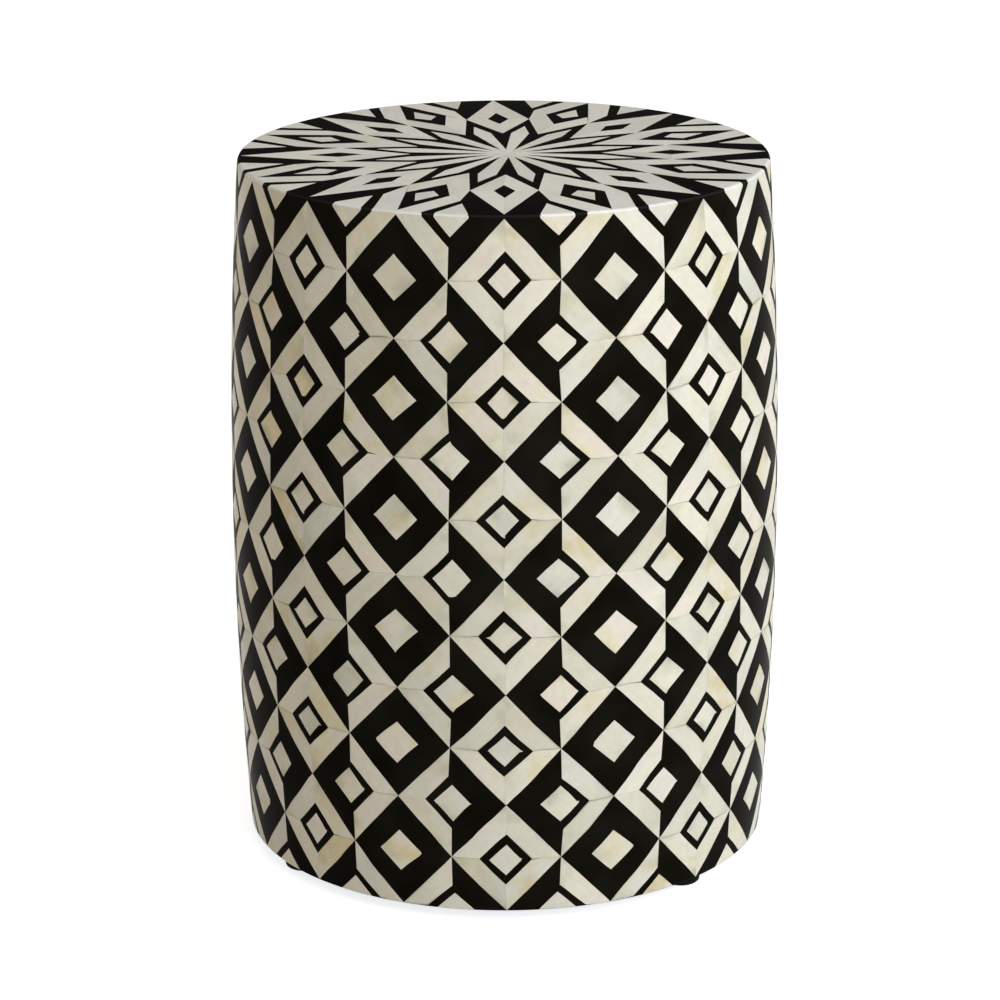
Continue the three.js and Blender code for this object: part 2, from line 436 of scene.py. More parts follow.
def framed_diamond(sheet, column, row):
    for right in (1, -1):
        for down in (1, -1):
            bar(sheet, column, row, right, down, FRAME_INNER_SHARES)
    eye(sheet, column, row, FRAMED_EYE_SHARES)


def shaded_diamond(sheet, column, row, right):
    for down in (1, -1):
        if 0 <= row + down <= ROWS:
            bar(sheet, column, row, right, down, BAR_INNER_SHARES)
    shares = SHADED_EYE_SHARES if row else RIM_EYE_SHARES
    eye(sheet, column - right * SHADED_EYE_SHIFT_SHARE, row, shares)


def side_sheet():
    sheet = Sheet(seed=7)
    for row in range(1, ROWS, 2):
        framed_diamond(sheet, 0, row)
        eye(sheet, 2, row, DARK_EYE_SHARES)
    for row in range(0, ROWS + 1, 2):
        shaded_diamond(sheet, 1, row, 1)
        shaded_diamond(sheet, 3, row, -1)
    return sheet


strip = side_sheet()
for line in range(-SCORES_PER_COLUMN, SCORES_PER_COLUMN * STRIP_COLUMNS):
    strip.score((line * column_width / SCORES_PER_COLUMN, 0, 0), (1, 0, 0))
for line in range(RIM_SCORES):
    strip.score((0, rim_band * line / RIM_SCORES, 0), (0, 1, 0))
print("One strip of the side has", strip.count, "slips and", len(strip.mesh.faces), "faces")
side_slips = strip.finished("side_slips")

# %% [markdown]
# ## The pattern of the top
#
# On the top the same three diamonds are stretched into a star. Each of its eight sectors holds a framed
# kite that points at the rim, half a dark kite on either side of it, and the halves of the shaded
# diamonds that fold over the rim from the side. Sixteen slim petals fill the middle. One sector is drawn,
# seen from above, from the middle of its framed kite to the middle of the next one. Places are a share of
# the reach from the middle to the rim joint, and a turn in half columns of the star, of 11.25 degrees each.

# %% Draw one sector of the top
SECTORS = 8
SECTOR_HALF_COLUMNS = 4
HALF_COLUMN = 2 * math.pi / (SECTORS * SECTOR_HALF_COLUMNS)
HALF_COLUMN_DEGREES = 360 / (SECTORS * SECTOR_HALF_COLUMNS)
DARK_AXIS = 2

KITE_TIP_SHARE = 0.362
KITE_CORNER_SHARE = 0.63
KITE_EYE_SHARES = (0.533, 0.624, 0.742)
KITE_EYE_HALF_SHARE = 0.037
DARK_INNER_SHARE = 0.555
DARK_CORNER_SHARES = (0.731, 6.65 / HALF_COLUMN_DEGREES)
TOP_DARK_EYE_SHARES = (0.675, 0.73, 0.843)
DARK_EYE_TURN_SHARE = 3.7 / HALF_COLUMN_DEGREES
BAR_ELBOW_SHARE = 0.796
BAR_RIM_TURN_SHARE = 17.1 / HALF_COLUMN_DEGREES
HALF_EYE_SHARES = (0.8375, 10.3 / HALF_COLUMN_DEGREES)
HALF_EYE_RIM_TURN_SHARES = (7.4 / HALF_COLUMN_DEGREES, 14.3 / HALF_COLUMN_DEGREES)
PETAL_CORE_SHARE = 0.06
PETAL_SHOULDER_SHARE = 0.365
PETAL_SHOULDER_TURN_SHARE = 0.48
PETAL_TIP_SHARE = 0.495
RIM_STEPS = 4
RIM_FACETS_PER_SECTOR = 8
RIM_LINES = 3


def around_middle(radius, turn):
    """A place at a radius, and a turn from the front in half columns."""
    angle = turn * HALF_COLUMN
    return Vector((radius * math.sin(angle), -radius * math.cos(angle)))


def star(share, turn):
    return around_middle(share * joint_length, turn)


def kite_half(sheet, side):
    """The two bars of a framed kite on one side of its axis, round the small black diamond."""
    inner, middle, outer = KITE_EYE_SHARES
    eye_side = Vector((side * KITE_EYE_HALF_SHARE, -middle)) * joint_length
    tip, corner, rim = star(KITE_TIP_SHARE, 0), star(KITE_CORNER_SHARE, side), around_middle(flat_radius, 0)
    sheet.slip([tip, corner, eye_side, star(inner, 0)], corner - tip, true=(1,))
    sheet.slip([corner, rim, star(outer, 0), eye_side], rim - corner, true=(0, 1))


def dark_half(sheet, side):
    """The bar of the dark kite on one side of its axis, which is two half columns from the front."""
    lateral = star(KITE_CORNER_SHARE, DARK_AXIS + side)
    tip = star(KITE_TIP_SHARE, DARK_AXIS)
    reach, turn = DARK_CORNER_SHARES
    corners = [tip, lateral, star(reach, DARK_AXIS + side * turn), star(DARK_INNER_SHARE, DARK_AXIS)]
    sheet.slip(corners, lateral - tip, true=(1,))


def dark_eye(sheet):
    inner, middle, outer = TOP_DARK_EYE_SHARES
    corners = [
        star(inner, DARK_AXIS),
        star(middle, DARK_AXIS + DARK_EYE_TURN_SHARE),
        star(outer, DARK_AXIS),
        star(middle, DARK_AXIS - DARK_EYE_TURN_SHARE),
    ]
    sheet.slip(corners, corners[2] - corners[1])


def over_top_rim(first, last):
    """The end of a slip on the rounded rim: out over the band, along the joint, and back in."""
    edge = [around_middle(joint_length, turn) for turn in even_steps(first, last, RIM_STEPS)]
    return [around_middle(flat_radius, first), *edge, around_middle(flat_radius, last)]


def rim_half(sheet, side):
    """The half of a shaded diamond on the top: a bar beside the dark kite, and half an eye."""

    def turn(half_columns):
        return half_columns if side > 0 else SECTOR_HALF_COLUMNS - half_columns

    start, elbow = star(KITE_CORNER_SHARE, turn(1)), star(BAR_ELBOW_SHARE, turn(1))
    rim = over_top_rim(turn(2), turn(BAR_RIM_TURN_SHARE))
    true = range(len(rim) + 1)
    sheet.slip([start, *rim, elbow], rim[0] - start, true=true)
    apex = star(HALF_EYE_SHARES[0], turn(HALF_EYE_SHARES[1]))
    rim = over_top_rim(*[turn(share) for share in HALF_EYE_RIM_TURN_SHARES])
    sheet.slip([apex, *rim], rim[-1] - apex, true=true)


def petal(sheet, axis):
    shoulder = PETAL_SHOULDER_TURN_SHARE
    corners = [
        star(0, axis),
        star(PETAL_CORE_SHARE, axis - 1),
        star(PETAL_SHOULDER_SHARE, axis - shoulder),
        star(PETAL_TIP_SHARE, axis),
        star(PETAL_SHOULDER_SHARE, axis + shoulder),
        star(PETAL_CORE_SHARE, axis + 1),
    ]
    sheet.slip(corners, corners[3], true=(0,))


def top_sheet():
    sheet = Sheet(seed=11)
    for side in (1, -1):
        kite_half(sheet, side)
        dark_half(sheet, side)
        rim_half(sheet, side)
        petal(sheet, DARK_AXIS + side)
    dark_eye(sheet)
    return sheet


sector = top_sheet()
for facet in range(-RIM_FACETS_PER_SECTOR, 2 * RIM_FACETS_PER_SECTOR):
    angle = (facet + 0.5) * SECTOR_HALF_COLUMNS * HALF_COLUMN / RIM_FACETS_PER_SECTOR
    facing = Vector((math.sin(angle), -math.cos(angle), 0))
    for line in range(RIM_LINES):
        reach = flat_radius + (joint_length - flat_radius) * line / RIM_LINES
        sector.score(facing * reach, facing)
print("One sector of the top has", sector.count, "slips and", len(sector.mesh.faces), "faces")
top_slips = sector.finished("top_slips")

# %% [markdown]
# ## From flat sheets to the barrel
#
# A modeller could bend each slip by hand, or use a Curve or Lattice modifier on the lot. Geometry Nodes
# do it more exactly, because they can work out every point from the outline itself. The recipe repeats
# the strip round the barrel, gives every slip its own tone, makes the layout a little uneven as handwork
# is, and then lays each point down: its distance along the sheet becomes a length along the outline, and
# its distance across becomes a turn round the axis.
#
# Each recipe is a tree with named inputs. It ends by making the instances real, smoothing everything but
# the hard edges, and setting the finish. Its result is kept as a plain mesh.

# %% The helper for recipes, and the outline as a curve
HARD_EDGE = math.radians(30)


class Recipe(Tree):
    """A Geometry Nodes tree with named inputs, which ends in one finish."""

    def __init__(self, name, **inputs):
        """Each kind of input comes with the names of its inputs, one after another."""
        super().__init__(bpy.data.node_groups.new(name, "GeometryNodeTree"))
        new_socket = self.tree.interface.new_socket
        for kind, labels in {"Geometry": "Start", **inputs, "Material": "Finish"}.items():
            for label in labels.split():
                new_socket(label, in_out="INPUT", socket_type="NodeSocket" + kind)
        new_socket("Made", in_out="OUTPUT", socket_type="NodeSocketGeometry")
        self.given = {socket.name: Value(self, socket) for socket in self.node("NodeGroupInput").outputs}

    def chance(self, low, high, number, seed):
        """A random value for each numbered part."""
        kind = "FLOAT" if isinstance(low, float) else "FLOAT_VECTOR"
        inputs = {"Min": low, "Max": high, "ID": number, "Seed": seed}
        return self.add("FunctionNodeRandomValue", inputs, data_type=kind)

    def keep(self, geometry, name, kind, value):
        """Stores a value on every point, where the finish can read it."""
        inputs = {"Geometry": geometry, "Name": name, "Value": value}
        return self.add("GeometryNodeStoreNamedAttribute", inputs, data_type=kind, domain="POINT")

    def kept(self, name):
        """A vector that was stored on the points."""
        return self.add("GeometryNodeInputNamedAttribute", {"Name": name}, data_type="FLOAT_VECTOR")

    def as_move(self, noise, amount):
        """Turns a noise, which runs from 0 to 1 in each direction, into a move that goes either way."""
        return self.scaled(self.summed(noise, (-0.5, -0.5, -0.5)), amount)

    def place_points(self, geometry, place):
        return self.add("GeometryNodeSetPosition", {"Geometry": geometry, "Position": place})

    def real_copies(self, **inputs):
        """Copies of one piece on many points, made real."""
        copies = self.add("GeometryNodeInstanceOnPoints", inputs)
        return self.add("GeometryNodeRealizeInstances", {"Geometry": copies})

    def end(self, geometry):
        """Smooths all but the hard edges, and sets the finish."""
        made = self.add("GeometryNodeRealizeInstances", {"Geometry": geometry})
        made = self.add("GeometryNodeSetShadeSmooth", {"Geometry": made, "Shade Smooth": True}, domain="FACE")
        hard = self.math("GREATER_THAN", self.add("GeometryNodeInputMeshEdgeAngle"), HARD_EDGE)
        edges = {"Geometry": made, "Selection": hard, "Shade Smooth": False}
        made = self.add("GeometryNodeSetShadeSmooth", edges, domain="EDGE")
        made = self.add("GeometryNodeSetMaterial", {"Geometry": made, "Material": self.given["Finish"]})
        self.node("NodeGroupOutput", {0: made})

    def make(self, name, start, **values):
        """Runs the recipe on a starting object, and keeps the result as a plain mesh."""
        modifier = start.modifiers.new(self.tree.name, "NODES")
        modifier.node_group = self.tree
        for item in self.tree.interface.items_tree:
            if item.in_out == "INPUT" and item.name in values:
                modifier[item.identifier] = values[item.name]
        graph = bpy.context.evaluated_depsgraph_get()
        evaluated = start.evaluated_get(graph)
        mesh = bpy.data.meshes.new_from_object(evaluated, preserve_all_data_layers=True, depsgraph=graph)
        mesh.name = name
        bpy.data.objects.remove(start)
        print("Made", name, "with", sum(len(p.vertices) - 2 for p in mesh.polygons), "triangles")
        return placed(name, mesh)


RIM_POINTS = 48
WALL_POINTS = 96


def outline_lengths():
    """Lengths along the outline, close together over the rim and wider apart down the side."""
    rim = even_steps(flat_radius, wall_start, RIM_POINTS)
    wall = even_steps(wall_start, outline_length, WALL_POINTS)
    return [0, rim[0] - (rim[1] - rim[0]), *rim[:-1], *wall]


outline_data = bpy.data.curves.new("outline", "CURVE")
outline_data.dimensions = "3D"
spline = outline_data.splines.new("POLY")
lengths = outline_lengths()
spline.points.add(len(lengths) - 1)
for point, length in zip(spline.points, lengths):
    place, facing = outline(length)
    point.co = (place.x, 0, place.y, 1)
outline_curve = placed("outline", outline_data)
print("The outline curve is", round(spline.calc_length() / MM, 2), "mm long")

# %% [markdown]
# ## Two recipes for laying slips
#
# Both recipes share a few moves. `told_apart` numbers the slips by mesh island and draws their tone,
# warmth and grain by chance. It shrinks each by a hair, and cuts some short at the corner that has
# slack, so that the joints between them aren't all equally fine. `laid` puts the points on the barrel.
# Between them comes the unevenness of the layout, which the two sheets do in their own ways.

# %% The moves that both recipes share
TONE_SEED, WARMTH_SEED, GRAIN_SEED, SIZE_SEED, SLACK_SEED = 3, 5, 8, 13, 21
CUT_SHORT_FROM = 0.55
SMALLEST_SHARE = 0.9993
GRAIN_SPREAD = 4.0
WAVER_NOISE = {"Scale": 58.0, "Detail": 0.5, "Roughness": 0.3}


def told_apart(recipe, geometry):
    island = recipe.add("GeometryNodeInputMeshIsland")
    for name, seed in (("tone", TONE_SEED), ("warmth", WARMTH_SEED)):
        geometry = recipe.keep(geometry, name, "FLOAT", recipe.chance(0.0, 1.0, island, seed))
    elsewhere = recipe.chance((0, 0, 0), (GRAIN_SPREAD,) * 3, island, GRAIN_SEED)
    grain = recipe.summed(recipe.kept("grain"), elsewhere)
    geometry = recipe.keep(geometry, "grain", "FLOAT_VECTOR", grain)
    size = recipe.chance(SMALLEST_SHARE, 1.0, island, SIZE_SEED)
    geometry = recipe.add("GeometryNodeScaleElements", {"Geometry": geometry, "Scale": size})
    luck = recipe.chance(0.0, 1.0, island, SLACK_SEED) - CUT_SHORT_FROM
    luck = recipe.math("MAXIMUM", luck, 0) / (1 - CUT_SHORT_FROM)
    short = {"Geometry": geometry, "Offset": recipe.scaled(recipe.kept("slack"), luck)}
    return recipe.add("GeometryNodeSetPosition", short)


def wavering(recipe, place, amount):
    """A small move that changes slowly from place to place, as a hand-held saw and a hand-drawn net do."""
    return recipe.as_move(recipe.add("ShaderNodeTexNoise", {"Vector": place, **WAVER_NOISE}, "Color"), amount)


def stepped(recipe, angle):
    """Adds the error of stepping off the columns from the front: nothing there, and most at the back."""
    half_error = recipe.given["Stepping_error"] / 2
    return (1 - recipe.math("COSINE", angle)) * half_error + angle


def laid(recipe, geometry, angle, length, lift):
    curve = recipe.add("GeometryNodeObjectInfo", {"Object": recipe.given["Outline"]}, "Geometry")
    found = recipe.node("GeometryNodeSampleCurve", {"Curves": curve, "Length": length}, mode="LENGTH")
    radius, _, height = recipe.split(found.outputs["Position"])
    run, _, climb = recipe.split(found.outputs["Tangent"])
    radius = radius - climb * lift
    across = radius * recipe.math("SINE", angle)
    back = radius * recipe.math("COSINE", angle) * -1
    return recipe.place_points(geometry, recipe.join(across, back, run * lift + height))


print("Slips shrink to", SMALLEST_SHARE, "of their size at the least")

# %% [markdown]
# ## Laying the side
#
# The inlayer marks the net on the barrel with dividers, and every crossing ends up a millimetre or so
# off. The slips are then cut to fit, so neighbours still meet. The recipe does the same: every crossing of
# the net gets its own small error by chance, and each point of a slip moves by a blend of the errors at
# the four crossings round it. A finer wavering moves the corners of the frames and eyes. Both fade out
# at the rim and the bottom edge, which stay true. The middle rows sit a little low, because the net was
# stepped off with dividers along a curved side.

# %% Build the recipe of the side
MIDDLE_ROWS_DROP = 0.035
WAVER_FADE_ROWS = 0.3
ERROR_FADE_ROWS = 1


def row_of(side, y):
    return y / (side.given["Row_height"] * -1)


def true_ends(side, row, rows):
    """Nought at the rim and the bottom edge, and one from some rows away."""
    nearest = side.math("MINIMUM", row, side.given["Rows"] - row)
    return side.math("MAXIMUM", side.math("MINIMUM", nearest / rows, 1), 0)


def rolled_up(side, x, y):
    """The flat sheet rolled into a drum, so that a noise on it meets itself at the back."""
    radius = side.given["Girth_radius"]
    turn = x / radius
    return side.join(side.math("SINE", turn) * radius, side.math("COSINE", turn) * radius, y)


def crossing_error(side, column, row):
    """The layout error at a point of the net, blended from the four crossings of the net round it."""
    first = (column + row) * 0.5 + 0.5
    second = (column - row) * 0.5 + 0.5
    error = None
    for step, other_step in ((0, 0), (0, 1), (1, 0), (1, 1)):
        corner = side.math("FLOOR", first) + step
        other = side.math("FLOOR", second) + other_step
        near = 1 - side.math("ABSOLUTE", first - corner)
        other_near = 1 - side.math("ABSOLUTE", second - other)
        at_column = side.math("ROUND", (corner + other - 1) % side.given["Columns"])
        at_row = side.math("ROUND", corner - other)
        mark = side.join(at_column, at_row, side.given["Seed"])
        noise = side.add("ShaderNodeTexWhiteNoise", {"Vector": mark}, "Color")
        share = side.as_move(noise, near * other_near)
        error = side.summed(error, share) if error else share
    return side.scaled(error, side.given["Unevenness"])


def side_recipe():
    sizes = "Columns Rows Column_width Row_height Wall_start Girth_radius"
    errors = " Unevenness Waver Stepping_error Seed"
    side = Recipe("lay_side_slips", Object="Outline", Int="Strips", Float=sizes + errors)
    given = side.given
    strip_width = given["Columns"] * given["Column_width"] / given["Strips"]
    spots = {"Count": given["Strips"], "Offset": side.join(strip_width, 0, 0)}
    spots = side.add("GeometryNodeMeshLine", spots, mode="OFFSET")
    slips = told_apart(side, side.real_copies(Points=spots, Instance=given["Start"]))
    x, y, z = side.split(side.add("GeometryNodeInputPosition"))
    waver = given["Waver"] * true_ends(side, row_of(side, y), WAVER_FADE_ROWS)
    across, down, _ = side.split(wavering(side, rolled_up(side, x, y), waver))
    x = x + across
    row = row_of(side, y + down)
    error = crossing_error(side, x / given["Column_width"], row)
    error_x, error_y, _ = side.split(side.scaled(error, true_ends(side, row, ERROR_FADE_ROWS)))
    row = row - error_y / given["Row_height"]
    halfway = side.math("SINE", row / given["Rows"] * math.pi)
    row = side.math("MAXIMUM", halfway, 0) * MIDDLE_ROWS_DROP + row
    length = row * given["Row_height"] + given["Wall_start"]
    angle = stepped(side, (x + error_x) / given["Girth_radius"])
    side.end(laid(side, slips, angle, length, z))
    return side


lay_side = side_recipe()
print("The recipe of the side has", len(lay_side.tree.nodes), "nodes")

# %% [markdown]
# ## Laying the top
#
# The top sheet is already round, so a point's distance from the middle is its length along the outline,
# and past the rounding it turns down over the rim. The unevenness here is a slow drift, as if the star
# had been drawn freehand over a compass layout. It's largest halfway out, and dies out in the middle and
# at the rim. The middle of the star sits a little off the middle of the barrel, and that error dies out
# towards the rim.

# %% Build the recipe of the top
DRIFT_DETAIL = 1.0
DRIFT_GAIN = 4
WAVER_GAIN = 2
OFF_CENTRE_FADE = 1.5


def distance(top, place):
    """How far a place on the flat sheet is from its middle."""
    x, y, _ = top.split(place)
    return top.math("SQRT", x * x + y * y)


def top_recipe():
    sizes = "Rim_joint Unevenness Drift_scale Waver Stepping_error"
    top = Recipe("lay_top_slips", Object="Outline", Int="Sectors", Float=sizes, Vector="Off_centre")
    given = top.given
    spots = top.add("GeometryNodeMeshLine", {"Count": given["Sectors"], "Offset": (0, 0, 0)}, mode="OFFSET")
    turn = top.add("GeometryNodeInputIndex") * math.tau / given["Sectors"]
    turn = top.add("FunctionNodeEulerToRotation", {0: top.join(0, 0, turn)})
    slips = told_apart(top, top.real_copies(Points=spots, Instance=given["Start"], Rotation=turn))
    place = top.add("GeometryNodeInputPosition")
    _, _, z = top.split(place)
    inside = top.math("MAXIMUM", 1 - distance(top, place) / given["Rim_joint"], 0)
    room = inside * (1 - inside) * DRIFT_GAIN
    noise = {"Vector": place, "Scale": given["Drift_scale"], "Detail": DRIFT_DETAIL}
    noise = top.add("ShaderNodeTexNoise", noise, "Color")
    drift = top.as_move(noise, room * given["Unevenness"])
    drift = top.summed(drift, top.scaled(given["Off_centre"], inside**OFF_CENTRE_FADE))
    waver = given["Waver"] * top.math("MINIMUM", room * WAVER_GAIN, 1)
    place = top.summed(top.summed(place, drift), wavering(top, place, waver))
    x, y, _ = top.split(place)
    angle = stepped(top, top.math("ARCTAN2", x, y * -1))
    top.end(laid(top, slips, angle, distance(top, place), z))
    return top


lay_top = top_recipe()
print("The recipe of the top has", len(lay_top.tree.nodes), "nodes")

# %% [markdown]
# ## Turned pieces
#
# The resin skins and the rubber feet are round, so each is a section turned about an axis. Spin would do
# it from the mesh tools. A recipe keeps the sizes open instead: it takes a section drawn as a closed loop,
# rolls a grid of points round it as a lathe does, closes the seam, and sets a copy at every place given.

# %% Build the recipe of the lathe
WELD = 0.001 * MM


def lathe_recipe():
    lathe = Recipe("turn_on_lathe", Int="Steps", Object="Places")
    steps, start = lathe.given["Steps"], {"Geometry": lathe.given["Start"]}
    corners = lathe.add("GeometryNodeAttributeDomainSize", start, "Point Count", component="MESH")
    along = corners + 1
    grid = lathe.add("GeometryNodeMeshGrid", {"Vertices X": steps + 1, "Vertices Y": along})
    number = lathe.add("GeometryNodeInputIndex")
    step = lathe.math("FLOOR", (number + 0.5) / along)
    corner = (number - step * along) % corners
    section = {**start, "Value": lathe.add("GeometryNodeInputPosition"), "Index": corner}
    section = lathe.add("GeometryNodeSampleIndex", section, data_type="FLOAT_VECTOR")
    radius, _, height = lathe.split(section)
    angle = step % steps * math.tau / steps
    x = radius * lathe.math("COSINE", angle)
    y = radius * lathe.math("SINE", angle)
    rolled = lathe.place_points(grid, lathe.join(x, y, height))
    rolled = lathe.add("GeometryNodeMergeByDistance", {"Geometry": rolled, "Distance": WELD})
    places = lathe.add("GeometryNodeObjectInfo", {"Object": lathe.given["Places"]}, "Geometry")
    lathe.end(lathe.add("GeometryNodeInstanceOnPoints", {"Points": places, "Instance": rolled}))
    return lathe


def points_object(name, places, closed=False):
    """A mesh of bare points, or a closed loop through them, for a recipe to read."""
    mesh = bpy.data.meshes.new(name)
    count = len(places)
    mesh.from_pydata(places, [(i, (i + 1) % count) for i in range(count)] if closed else [], [])
    return placed(name, mesh)


def turned(name, corners, finish, steps, places):
    """Turns a section: pairs of radius and height, anticlockwise with the axis at the left."""
    corners = [(radius, 0, height) for radius, height in corners]
    section = points_object(name + "_section", corners, closed=True)
    return turn_on_lathe.make(name, section, Finish=finish, Steps=steps, Places=places)


turn_on_lathe = lathe_recipe()
axis_place = points_object("axis_place", [(0, 0, 0)])
print("The recipe of the lathe has", len(turn_on_lathe.tree.nodes), "nodes")

# %% [markdown]
# ## Finishes
#
# Every surface gets a finish made of nodes. A picture of bone would be quicker, but it would repeat, and
# it couldn't follow each slip. A finish is a small tree: a shader, with noise of several sizes that feeds
# its colour, roughness and bump. Values that don't vary are set on the shader itself.
#
# Scales of noise are in clouds per metre. Three at once, for X, Y and Z, draw the clouds out where the
# scale is low. A noise seldom leaves the span from 0.3 to 0.7, so a ramp over that span uses all of it. A
# ramp over a shorter span makes patches.

# %% The helper for finishes
# The width of the band on the rim where a highlight is painted.
RIM_HIGHLIGHT_BAND = 0.5 * MM
ALL_DRAWS = (0.0, 1.0)
USUAL_SPAN = (0.3, 0.7)


class Finish(Tree):
    """A material whose colour, roughness and bump come from nodes."""

    def __init__(self, name, **constants):
        self.material = bpy.data.materials.new(name)
        self.material.use_nodes = True
        super().__init__(self.material.node_tree)
        self.tree.nodes.clear()
        fixed = {label.replace("_", " "): value for label, value in constants.items()}
        self.shader = self.node("ShaderNodeBsdfPrincipled", fixed)
        self.node("ShaderNodeOutputMaterial", {"Surface": self.shader.outputs["BSDF"]})

    def own(self, name, output="Fac"):
        return self.add("ShaderNodeAttribute", output=output, attribute_name=name)

    def place(self):
        return self.add("ShaderNodeTexCoord", output="Object")

    def noise(self, vector, scale, detail=2.0, roughness=0.5):
        """Clouds from nought to one. Three scales draw them out."""
        if isinstance(scale, tuple):
            vector = self.add("ShaderNodeVectorMath", {0: vector, 1: scale}, operation="MULTIPLY")
            scale = 1.0
        inputs = {"Vector": vector, "Scale": scale, "Detail": detail, "Roughness": roughness}
        return self.add("ShaderNodeTexNoise", inputs)

    def ramp(self, value, span, amounts=(0.0, 1.0)):
        """Goes from the first amount to the second while the value crosses a span, and stays there."""
        inputs = dict(zip(("From Min", "From Max", "To Min", "To Max"), (*span, *amounts)))
        return self.add("ShaderNodeMapRange", {"Value": value, **inputs})

    def blend(self, share, first, second):
        return self.add("ShaderNodeMix", {"Factor": share, "A": first, "B": second}, data_type="RGBA")

    def colour(self, value):
        self.plug(self.shader.inputs["Base Color"], value)

    def gloss(self, value):
        self.plug(self.shader.inputs["Roughness"], value)

    def relief(self, height, depth, strength=0.5):
        bump = {"Height": height, "Distance": depth, "Strength": strength}
        self.plug(self.shader.inputs["Normal"], self.add("ShaderNodeBump", bump))


rim_sum = outline(joint_length)[0].x + outline(joint_length)[0].y


# The painted highlight on the rim of the bone and the resin follows this mask.
def rim_highlight_mask(finish):
    """One on the middle of the rounded rim, and nought on the flat top and the side. It marks where a
    highlight is painted.
    """
    across, along, up = finish.split(finish.place())
    radius = finish.math("SQRT", across * across + along * along)
    return finish.ramp(radius + up, (rim_sum - RIM_HIGHLIGHT_BAND, rim_sum))


print("Finish helper ready")

# %% [markdown]
# ## Bone
#
# Camel bone is cream, never one colour. Slips differ in tone because they come from different bones. In a
# slip the colour drifts between ivory, straw and a cool grey, with fine streaks along the strip. Most of
# the slips are nearly plain, and a few have strong straw patches. Which ones follows from a second draw:
# 17 times a slip's tone, of which only the part after the point is kept. Some of the ends are smudged
# grey, and the sawn edges drink in a little brown from the glue and black from the resin. Each of these is
# one layer. Use has worn the top's polish down, so it gets a rougher version of the finish, and its colour
# is painted paler, as painted light on the top. The rim is painted pale too, a painted highlight.

# %% Make the bone finish
IVORY = (0.785, 0.755, 0.672, 1)
STRAW = (0.71, 0.6, 0.375, 1)
COOL_GREY = (0.615, 0.605, 0.505, 1)
ROSE = (0.74, 0.61, 0.52, 1)
GLUE_BROWN = (0.3, 0.25, 0.17, 1)
SMUDGE_GREY = (0.36, 0.365, 0.31, 1)
DUST_GREY = (0.12, 0.115, 0.1, 1)
# The next colour is what the top and the rim are blended towards: painted light on the top, a painted
# highlight on the rim.
PAINTED_LIGHT_BONE = (0.91, 0.9, 0.865, 1)
BONE_SHEEN = 0.06
BROAD_SCALE, PATCH_SCALE, FINE_SCALE = 26.0, 46.0, 210.0
STREAK_SCALES, PORE_SCALES = (30.0, 420.0, 30.0), (300.0, 2600.0, 300.0)
STRAW_PATCHES, ROSE_PATCHES, SMUDGED_PATCHES = (0.4, 0.65), (0.52, 0.36), (0.48, 0.66)
DUSTY_PATCHES, DUST_GRAINS, DARK_PORES, BROAD_PATCHES = (0.46, 0.64), (0.38, 0.62), (0.64, 0.78), (0.5, 0.68)
STRAW_SLIPS, ROSE_SLIPS, COOL_SLIPS, SLIP_ENDS = (0.2, 1.0), (0.2, 0.95), (0.7, 0.1), (0.3, 1.0)
SECOND_DRAW_FACTOR, PLAIN_SLIPS_POWER = 17.0, 2.5
FIGURE_AMOUNTS, STRAW_AMOUNTS, ROSE_AMOUNTS, COOL_AMOUNTS = (0.2, 1.0), (0.14, 0.34), (0.0, 0.6), (0.15, 0.6)
SMUDGE_AMOUNTS, GLUE_AMOUNTS, DUST_AMOUNTS, SPECK_AMOUNTS = (0.0, 0.6), (0.0, 0.75), (0.1, 0.9), (0.0, 0.4)
TONE_SHADES, STREAK_SHADES, FINE_SHADES = (0.92, 1.07), (0.975, 1.02), (0.955, 1.035)
GLUE_POWER, DUST_POWER = 1.5, 6.0
# How far the rim is blended towards that pale colour, a painted highlight.
RIM_HIGHLIGHT_SHARE = 0.9
STREAK_DEPTH, STREAK_RELIEF, PORE_RELIEF_SHARE = 0.02 * MM, 0.6, 0.4


